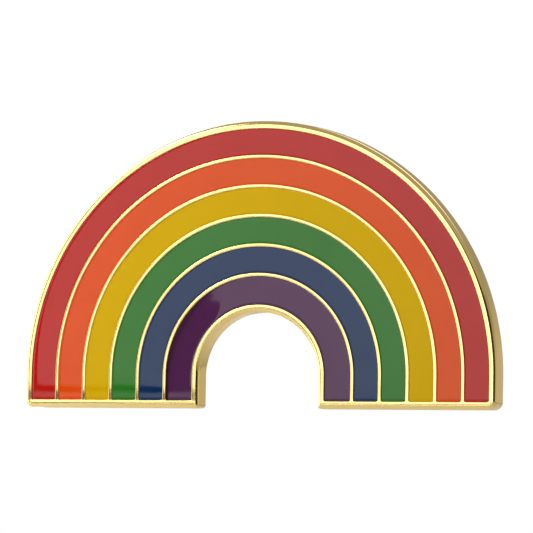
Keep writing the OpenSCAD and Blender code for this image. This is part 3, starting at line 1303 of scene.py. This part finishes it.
@dataclass(frozen=True)
class SoftLamp:
    """A square soft lamp that looks at the pin; metres and watts."""

    name: str
    place: tuple[float, float, float]
    size: float
    watts: float

    def build(self) -> None:
        """Adds the lamp."""
        light = bpy.data.lights.new(self.name, "AREA")
        light.size, light.energy = self.size, self.watts
        lamp = bpy.data.objects.new(self.name, light)
        lamp.location = self.place
        lamp.rotation_euler = (-Vector(self.place)).to_track_quat("-Z", "Y").to_euler()
        bpy.context.scene.collection.objects.link(lamp)


@dataclass(frozen=True)
class Room:
    """The room that the metal mirrors: dim in front, paler behind, above and along the ground.

    An edge gives the two Y or Z of a unit direction between which the light changes; a share is a part of
    the range from dim to glow.
    """

    dim: float = 0.04
    glow: float = 0.58
    front_edge: tuple[float, float] = (-0.62, -0.36)
    high_edge: tuple[float, float] = (0.1, 0.3)
    high_share: float = 0.62
    above_edge: tuple[float, float] = (0.36, 0.46)
    above_share: float = 0.75
    below_edge: tuple[float, float] = (-0.045, -0.06)
    below_share: float = 0.9

    def build(self) -> None:
        """Makes the world: the room in reflections, and plain white to the eye."""
        world = bpy.data.worlds.new("studio")
        bpy.context.scene.world = world
        world.use_nodes = True
        tree = world.node_tree
        tree.nodes.clear()
        way = add_node(tree, "TexCoord").outputs["Generated"]
        parts = add_node(tree, "SeparateXYZ", {}, {0: way}).outputs
        front = remap(tree, parts["Y"], self.front_edge, (0.0, 1.0))
        high = remap(tree, parts["Z"], self.high_edge, (1.0, self.high_share))
        above = remap(tree, parts["Z"], self.above_edge, (0.0, self.above_share))
        below = remap(tree, parts["Z"], self.below_edge, (0.0, self.below_share))
        back = add_node(tree, "Math", {"operation": "MULTIPLY"}, {0: front, 1: high})
        ends = add_node(tree, "Math", {"operation": "MAXIMUM"}, {0: below, 1: above})
        lit = add_node(tree, "Math", {"operation": "MAXIMUM"},
                       {0: back.outputs["Value"], 1: ends.outputs["Value"]})
        room = add_node(tree, "Background", {"Color": linear("FFF8EE")},
                        {"Strength": remap(tree, lit.outputs["Value"], (0.0, 1.0), (self.dim, self.glow))})
        plain = add_node(tree, "Background", {"Color": linear("FFFFFF"), "Strength": 1.0})
        seen = add_node(tree, "LightPath").outputs["Is Camera Ray"]
        both = add_node(tree, "MixShader", {}, {0: seen, 1: room.outputs[0], 2: plain.outputs[0]})
        add_node(tree, "OutputWorld", {}, {"Surface": both.outputs[0]})


@dataclass(frozen=True)
class Stage:
    """White sweep, three soft cards for the metal and enamel to mirror, two near lamps and the room."""

    floor_z: float = -0.03
    floor_size: float = 0.5
    floor_colour: str = "D6D5D3"
    floor_roughness: float = 0.9
    room: Room = Room()
    cards: tuple[SoftCard, ...] = (
        SoftCard("front_diffuser", (-28.5, -3.0), (-0.3, 18.0), 0.55, (1.8, 2.25)),
        SoftCard("low_diffuser", (-34.0, -3.0), (-8.0, -2.7), 0.55, (1.7, 2.0)),
        SoftCard("left_diffuser", (-150.0, -39.0), (-14.0, 36.0), 0.14, (2.6, 2.4)),
    )
    lamps: tuple[SoftLamp, ...] = (
        SoftLamp("key", (-0.075, -0.06, 0.065), 0.05, 0.071),
        SoftLamp("back_fill", (0.03, 0.2, 0.2), 0.16, 0.12),
    )

    def floor(self) -> None:
        """Makes the matt white sweep under the pin, which keeps its shadow."""
        half = self.floor_size / 2
        points = np.array([[-half, -half], [half, -half], [half, half], [-half, half]])
        points = np.hstack([points, np.full((4, 1), self.floor_z)]) / MM
        material, tree = blank_material("matt_white_sweep")
        shader = add_node(tree, "BsdfPrincipled", {"Base Color": linear(self.floor_colour),
                                                             "Roughness": self.floor_roughness})
        add_node(tree, "OutputMaterial", {}, {"Surface": shader.outputs["BSDF"]})
        make_piece("sweep", points, np.array([[0, 1, 2, 3]]), material)

    def build(self) -> None:
        """Makes the whole stage."""
        self.room.build()
        self.floor()
        for thing in (*self.cards, *self.lamps):
            thing.build()


@dataclass(frozen=True)
class PinCamera:
    """The camera: a long lens a little below the face, turned towards the pin's left."""

    azimuth: float = 22.85
    elevation: float = -2.5
    roll: float = 0.95
    distance: float = 0.42
    lens: float = 483.2
    right: float = 0.0205
    up: float = 0.4407
    inset: float = 0.35
    film: float = 36.0
    clip: tuple[float, float] = (0.01, 10.0)

    def build(self, plan: ArchPlan) -> None:
        """Places the camera against the arch's centre.

        Args:
            plan: The plate's plan, which gives the centre and the scale of the view's offsets.
        """
        a, e = math.radians(self.azimuth), math.radians(self.elevation)
        back = Vector((math.sin(a) * math.cos(e), -math.cos(a) * math.cos(e), math.sin(e)))
        turn = (-back).to_track_quat("-Z", "Y")
        turn = turn @ Matrix.Rotation(math.radians(self.roll), 3, "Z").to_quaternion()
        middle_y = (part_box("base_plate")[0].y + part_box("base_plate")[1].y) / 2
        radius = (plan.outer - self.inset) * MM
        target = Vector((0, middle_y, plan.centre_z * MM))
        target += turn @ Vector((self.right * radius, self.up * radius, 0))
        data = bpy.data.cameras.new("view")
        data.lens, data.sensor_width = self.lens, self.film
        data.clip_start, data.clip_end = self.clip
        camera = bpy.data.objects.new("view", data)
        camera.rotation_mode = "QUATERNION"
        camera.rotation_quaternion = turn
        camera.location = target + back * self.distance
        bpy.context.scene.collection.objects.link(camera)
        bpy.context.scene.camera = camera


# ---------------------------------------------------------------- the whole pin


@dataclass(frozen=True)
class EnamelPin:
    """The whole pin: struck plate, enamels, posts and clutches."""

    plate: StruckPlate = StruckPlate()
    post: NailPost = NailPost()
    solder: SolderRing = SolderRing()
    purple_lean: float = 0.07
    red_shoulder: float = 0.066

    def build(self) -> None:
        """Makes every piece, from the face to the clutches."""
        plating, shank, sheet, solder = (f.build() for f in (PLATING, SHANK, SHEET, SOLDER))
        self.plate.build(plating)
        for band, (node, finish) in enumerate(ENAMELS.items()):
            lean = self.purple_lean if node == "enamel_purple" else 0.0
            shoulder = self.red_shoulder if node == "enamel_red" else 0.0
            EnamelBand(band, node, lean, shoulder=shoulder).build(self.plate, finish.build())
        for side in Side:
            seat_frame = PostFrame(side)
            self.post.build(seat_frame, shank)
            self.solder.build(seat_frame, solder)
            Clutch(seat_frame, sheet).build()


def main() -> None:
    """Builds the pin, its stage and its camera."""
    logging.basicConfig(level=logging.INFO, format="%(message)s")
    bpy.context.scene.view_settings.view_transform = "Standard"
    EnamelPin().build()
    Stage().build()
    PinCamera().build(StruckPlate().plan)
    bpy.context.view_layer.update()


if __name__ == "__main__":
    main()
